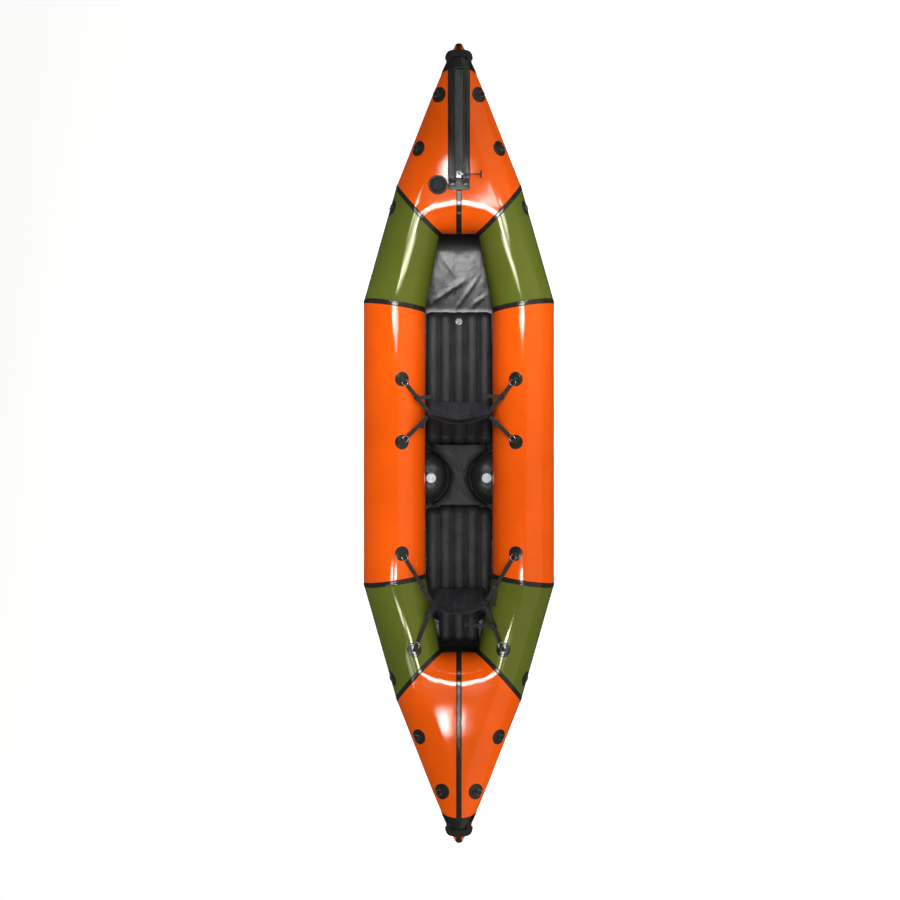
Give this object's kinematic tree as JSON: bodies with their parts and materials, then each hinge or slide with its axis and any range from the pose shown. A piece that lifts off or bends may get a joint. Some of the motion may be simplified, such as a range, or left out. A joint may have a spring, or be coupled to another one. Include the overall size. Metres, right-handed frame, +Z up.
{
  "type": "packraft",
  "caption": "Long double-ended inflatable packraft for two, with floor mats, backrests, bolsters, cargo zip and lashing rings.",
  "frame": {"origin": "on the ground under the middle of the bounding box", "axes": "+Y toward the bow, the end with the cargo zip; +X toward its right-hand side in a view from above with the bow up; +Z up"},
  "size_m": [1, 4.064, 0.4024],
  "materials": {
    "orange_fabric": "TPU-coated nylon, glossy",
    "green_fabric": "TPU-coated nylon, glossy",
    "black_fabric": "TPU-coated nylon, satin",
    "webbing": "woven polyester",
    "black_rubber": "moulded TPU",
    "black_plastic": "moulded, satin",
    "white_plastic": "moulded, satin",
    "steel": "bright"
  },
  "bodies": {
    "hull": {"backrest_strap_front_aft_left": "webbing", "backrest_strap_front_aft_right": "webbing", "backrest_strap_front_fore_left": "webbing", "backrest_strap_front_fore_right": "webbing", "backrest_strap_rear_aft_left": "webbing", "backrest_strap_rear_aft_right": "webbing", "backrest_strap_rear_fore_left": "webbing", "backrest_strap_rear_fore_right": "webbing", "bolster_left": "black_fabric", "bolster_right": "black_fabric", "bow_centre_tape": "black_fabric", "bow_end_patch": "black_fabric", "bow_tube": "orange_fabric", "corner_tube_bow_left": "green_fabric", "corner_tube_bow_right": "green_fabric", "corner_tube_stern_left": "green_fabric", "corner_tube_stern_right": "green_fabric", "floor_mat_front": "black_fabric", "floor_mat_link": "black_fabric", "floor_mat_rear": "black_fabric", "floor_sheet": "black_fabric", "main_valve_body": "black_plastic", "side_tube_left": "orange_fabric", "side_tube_right": "orange_fabric", "stern_centre_tape": "black_fabric", "stern_end_patch": "black_fabric", "stern_tube": "orange_fabric", "strap_anchor_front_aft_left": "black_fabric", "strap_anchor_front_aft_right": "black_fabric", "strap_anchor_front_fore_left": "black_fabric", "strap_anchor_front_fore_right": "black_fabric", "strap_anchor_rear_aft_left": "black_fabric", "strap_anchor_rear_aft_right": "black_fabric", "strap_anchor_rear_fore_left": "black_fabric", "strap_anchor_rear_fore_right": "black_fabric", "zip_chain": "black_rubber", "zip_dock": "black_rubber", "zip_tape": "black_fabric"},
    "backrest_front": {"backrest_front": "black_fabric"},
    "backrest_rear": {"backrest_rear": "black_fabric"},
    "zip_slider": {"zip_slider": "steel"},
    "zip_pull": {"zip_pull": "black_rubber"},
    "main_valve_cap": {"main_valve_cap": "black_plastic"},
    "mat_valve_cap": {"mat_valve_cap": "white_plastic"},
    "bolster_valve_cap_left": {"bolster_valve_cap_left": "white_plastic"},
    "bolster_valve_cap_right": {"bolster_valve_cap_right": "white_plastic"},
    "bow_grab_handle": {"bow_grab_handle": "webbing"},
    "stern_grab_handle": {"stern_grab_handle": "webbing"},
    "tie_ring_bow_corner_left": {"tie_ring_bow_corner_left": "black_plastic"},
    "tie_ring_bow_corner_right": {"tie_ring_bow_corner_right": "black_plastic"},
    "tie_ring_bow_middle_left": {"tie_ring_bow_middle_left": "black_plastic"},
    "tie_ring_bow_middle_right": {"tie_ring_bow_middle_right": "black_plastic"},
    "tie_ring_bow_outer_left": {"tie_ring_bow_outer_left": "black_plastic"},
    "tie_ring_bow_outer_right": {"tie_ring_bow_outer_right": "black_plastic"},
    "tie_ring_stern_corner_left": {"tie_ring_stern_corner_left": "black_plastic"},
    "tie_ring_stern_corner_right": {"tie_ring_stern_corner_right": "black_plastic"},
    "tie_ring_stern_middle_left": {"tie_ring_stern_middle_left": "black_plastic"},
    "tie_ring_stern_middle_right": {"tie_ring_stern_middle_right": "black_plastic"},
    "tie_ring_stern_outer_left": {"tie_ring_stern_outer_left": "black_plastic"},
    "tie_ring_stern_outer_right": {"tie_ring_stern_outer_right": "black_plastic"}
  },
  "joints": [
    {"name": "backrest_front_recline", "type": "hinge", "parent": "hull", "child": "backrest_front", "pos_m": [0, 0.2, 0.0833], "axis": [1, 0, 0], "range_deg": [-15, 20], "deforming": ["backrest_strap_front_aft_left", "backrest_strap_front_aft_right", "backrest_strap_front_fore_left", "backrest_strap_front_fore_right"]},
    {"name": "backrest_rear_recline", "type": "hinge", "parent": "hull", "child": "backrest_rear", "pos_m": [0, -0.792, 0.09027], "axis": [1, 0, 0], "range_deg": [-15, 5], "deforming": ["backrest_strap_rear_aft_left", "backrest_strap_rear_aft_right", "backrest_strap_rear_fore_left", "backrest_strap_rear_fore_right"]},
    {"name": "zip_slide", "type": "slide", "parent": "hull", "child": "zip_slider", "axis": [0, 0.9986, 0.0532], "range_m": [0, 0.49]},
    {"name": "zip_pull_swing", "type": "hinge", "parent": "zip_slider", "child": "zip_pull", "pos_m": [0, 1.36787, 0.38098], "axis": [0, -0.9986, -0.0532], "range_deg": [0, 170]},
    {"name": "main_valve_cap_turn", "type": "hinge", "parent": "hull", "child": "main_valve_cap", "pos_m": [-0.107, 1.318, 0.35792], "axis": [0, -0.0532, 0.9986], "range_deg": [0, 90]},
    {"name": "mat_valve_cap_turn", "type": "hinge", "parent": "hull", "child": "mat_valve_cap", "pos_m": [0, 0.648, 0.0653], "axis": [0, 0, 1], "range_deg": [0, 180]},
    {"name": "bolster_valve_cap_left_turn", "type": "hinge", "parent": "hull", "child": "bolster_valve_cap_left", "pos_m": [-0.147, -0.1855, 0.1183], "axis": [0, 0, 1], "range_deg": [0, 90]},
    {"name": "bolster_valve_cap_right_turn", "type": "hinge", "parent": "hull", "child": "bolster_valve_cap_right", "pos_m": [0.147, -0.1855, 0.1183], "axis": [0, 0, 1], "range_deg": [0, 90]},
    {"name": "bow_grab_handle_lift", "type": "hinge", "parent": "hull", "child": "bow_grab_handle", "pos_m": [0, 1.893, 0.3447], "axis": [1, 0, 0], "range_deg": [0, 40]},
    {"name": "stern_grab_handle_lift", "type": "hinge", "parent": "hull", "child": "stern_grab_handle", "pos_m": [0, -1.893, 0.3447], "axis": [-1, 0, 0], "range_deg": [0, 40]},
    {"name": "tie_ring_bow_corner_left_swing", "type": "hinge", "parent": "hull", "child": "tie_ring_bow_corner_left", "pos_m": [-0.34979, 1.22253, 0.249], "axis": [0.291, 0.9534, 0.0799], "range_deg": [0, 150]},
    {"name": "tie_ring_bow_corner_right_swing", "type": "hinge", "parent": "hull", "child": "tie_ring_bow_corner_right", "pos_m": [0.34979, 1.22253, 0.249], "axis": [0.291, -0.9534, -0.0799], "range_deg": [0, 150]},
    {"name": "tie_ring_bow_middle_left_swing", "type": "hinge", "parent": "hull", "child": "tie_ring_bow_middle_left", "pos_m": [-0.21488, 1.51248, 0.32689], "axis": [0.3413, 0.936, 0.0858], "range_deg": [0, 150]},
    {"name": "tie_ring_bow_middle_right_swing", "type": "hinge", "parent": "hull", "child": "tie_ring_bow_middle_right", "pos_m": [0.21615, 1.51299, 0.32604], "axis": [0.3522, -0.9341, -0.0591], "range_deg": [0, 150]},
    {"name": "tie_ring_bow_outer_left_swing", "type": "hinge", "parent": "hull", "child": "tie_ring_bow_outer_left", "pos_m": [-0.10946, 1.77923, 0.35967], "axis": [0.3442, 0.9315, 0.1173], "range_deg": [0, 150]},
    {"name": "tie_ring_bow_outer_right_swing", "type": "hinge", "parent": "hull", "child": "tie_ring_bow_outer_right", "pos_m": [0.10935, 1.77914, 0.35882], "axis": [0.34, -0.9307, -0.1347], "range_deg": [0, 150]},
    {"name": "tie_ring_stern_corner_left_swing", "type": "hinge", "parent": "hull", "child": "tie_ring_stern_corner_left", "pos_m": [-0.34979, -1.22253, 0.249], "axis": [-0.291, 0.9534, -0.0799], "range_deg": [0, 150]},
    {"name": "tie_ring_stern_corner_right_swing", "type": "hinge", "parent": "hull", "child": "tie_ring_stern_corner_right", "pos_m": [0.34979, -1.22253, 0.249], "axis": [-0.291, -0.9534, 0.0799], "range_deg": [0, 150]},
    {"name": "tie_ring_stern_middle_left_swing", "type": "hinge", "parent": "hull", "child": "tie_ring_stern_middle_left", "pos_m": [-0.21169, -1.50747, 0.33031], "axis": [-0.3555, 0.9317, -0.0751], "range_deg": [0, 150]},
    {"name": "tie_ring_stern_middle_right_swing", "type": "hinge", "parent": "hull", "child": "tie_ring_stern_middle_right", "pos_m": [0.21204, -1.50768, 0.32996], "axis": [-0.3666, -0.9289, 0.0512], "range_deg": [0, 150]},
    {"name": "tie_ring_stern_outer_left_swing", "type": "hinge", "parent": "hull", "child": "tie_ring_stern_outer_left", "pos_m": [-0.09315, -1.77714, 0.36832], "axis": [-0.3673, 0.9238, -0.1082], "range_deg": [0, 150]},
    {"name": "tie_ring_stern_outer_right_swing", "type": "hinge", "parent": "hull", "child": "tie_ring_stern_outer_right", "pos_m": [0.09313, -1.77709, 0.36808], "axis": [-0.3578, -0.9252, 0.1268], "range_deg": [0, 150]}
  ]
}
